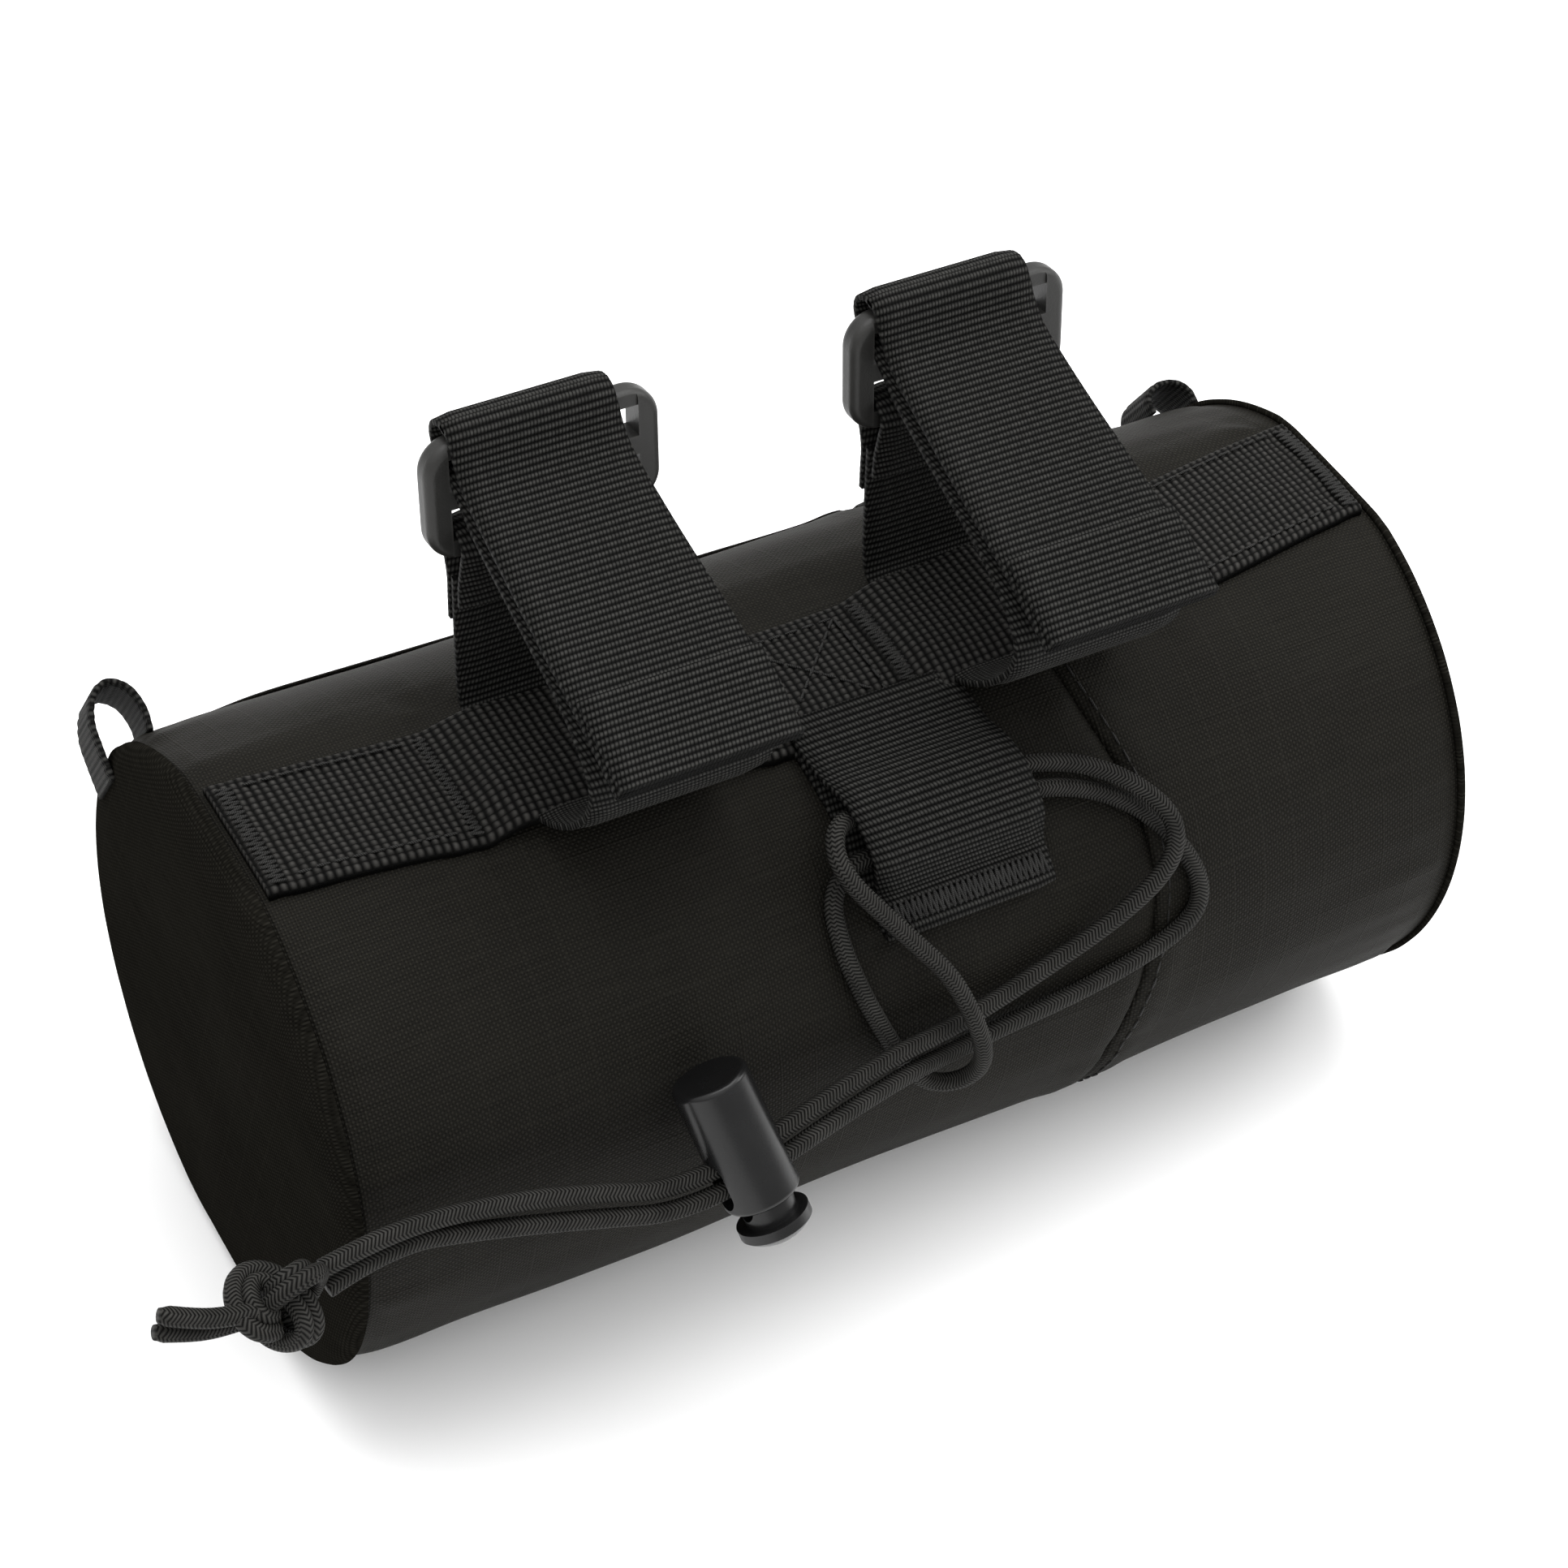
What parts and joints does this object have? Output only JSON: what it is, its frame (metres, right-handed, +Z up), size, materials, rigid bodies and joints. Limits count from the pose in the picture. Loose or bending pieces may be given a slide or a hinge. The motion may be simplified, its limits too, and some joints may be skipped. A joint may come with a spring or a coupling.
{
  "type": "handlebar bag",
  "caption": "Small soft cylindrical bag with a zip, two hook-and-loop straps through slide buckles, and an elastic cord loop with a cord lock.",
  "frame": {"origin": "centre of the flattened underside that the bag rests on", "axes": "+X along the bag's long axis, +Z up through the straps, -Y the front with the cord and its lock"},
  "size_m": [0.1996, 0.1072, 0.1259],
  "materials": {
    "ripstop_fabric": "woven ripstop nylon, matt",
    "end_fabric": "woven nylon, matt",
    "foam": "closed-cell foam",
    "lining_fabric": "thin plain-weave lining",
    "binding_tape": "narrow woven tape",
    "zip_tape": "woven zip tape",
    "zip_plastic": "moulded zip teeth",
    "zip_metal": "black enamel on die-cast metal",
    "base_strip": "ribbed webbing",
    "thread": "dense stitching",
    "strap_webbing": "ribbed webbing",
    "loop_tape": "looped pile tape",
    "hook_tape": "hook tape",
    "buckle_plastic": "satin moulded plastic",
    "elastic_cord": "braided sheath over rubber",
    "lock_plastic": "semi-gloss moulded plastic",
    "spring_steel": "plain spring wire"
  },
  "bodies": {
    "bag": {"base_bartacks": "thread", "base_webbing": "base_strip", "body_panel_left": "ripstop_fabric", "body_panel_right": "ripstop_fabric", "cord_knot": "elastic_cord", "cord_tab": "strap_webbing", "end_foam_left": "foam", "end_foam_right": "foam", "end_loop_left": "strap_webbing", "end_loop_right": "strap_webbing", "end_panel_left": "end_fabric", "end_panel_right": "end_fabric", "foam_tube": "foam", "lining": "lining_fabric", "loop_patch_left": "loop_tape", "loop_patch_right": "loop_tape", "seam_binding_left": "binding_tape", "seam_binding_right": "binding_tape", "shock_cord": "elastic_cord", "strap_left": "strap_webbing", "strap_right": "strap_webbing", "tab_bartack": "thread", "triglide_left": "buckle_plastic", "triglide_right": "buckle_plastic", "zip_stops": "zip_plastic", "zip_tape_lower": "zip_tape", "zip_tape_upper": "zip_tape", "zip_teeth_lower": "zip_plastic", "zip_teeth_upper": "zip_plastic"},
    "tail_left": {"strap_tail_left": "strap_webbing", "hook_patch_left": "hook_tape"},
    "tail_right": {"strap_tail_right": "strap_webbing", "hook_patch_right": "hook_tape"},
    "slider": {"zip_slider": "zip_metal"},
    "pull": {"zip_pull": "zip_metal"},
    "cord_lock": {"lock_barrel": "lock_plastic", "lock_spring": "spring_steel"},
    "lock_button": {"lock_plunger": "lock_plastic"}
  },
  "joints": [
    {"name": "left_tail_peel", "type": "hinge", "parent": "bag", "child": "tail_left", "pos_m": [-0.035, 0.0105, 0.1248], "axis": [-1, 0, 0], "range_deg": [0, 110]},
    {"name": "right_tail_peel", "type": "hinge", "parent": "bag", "child": "tail_right", "pos_m": [0.0245, 0.0105, 0.1248], "axis": [-1, 0, 0], "range_deg": [0, 110]},
    {"name": "zip_slide", "type": "slide", "parent": "bag", "child": "slider", "axis": [1, 0, 0], "range_m": [0, 0.112]},
    {"name": "zip_pull_hinge", "type": "hinge", "parent": "slider", "child": "pull", "pos_m": [-0.058, 0.04342, 0.05427], "axis": [0, -0.2924, 0.9563], "range_deg": [0, 165]},
    {"name": "cord_lock_slide", "type": "slide", "parent": "bag", "child": "cord_lock", "axis": [0.9749, 0.1756, 0.137], "range_m": [0, 0.008]},
    {"name": "lock_button_press", "type": "slide", "parent": "cord_lock", "child": "lock_button", "axis": [-0.2104, 0.5252, 0.8246], "range_m": [0, 0.0024], "stiffness_N_per_m": 300, "springref_m": -0.002, "deforming": ["lock_spring"]}
  ]
}
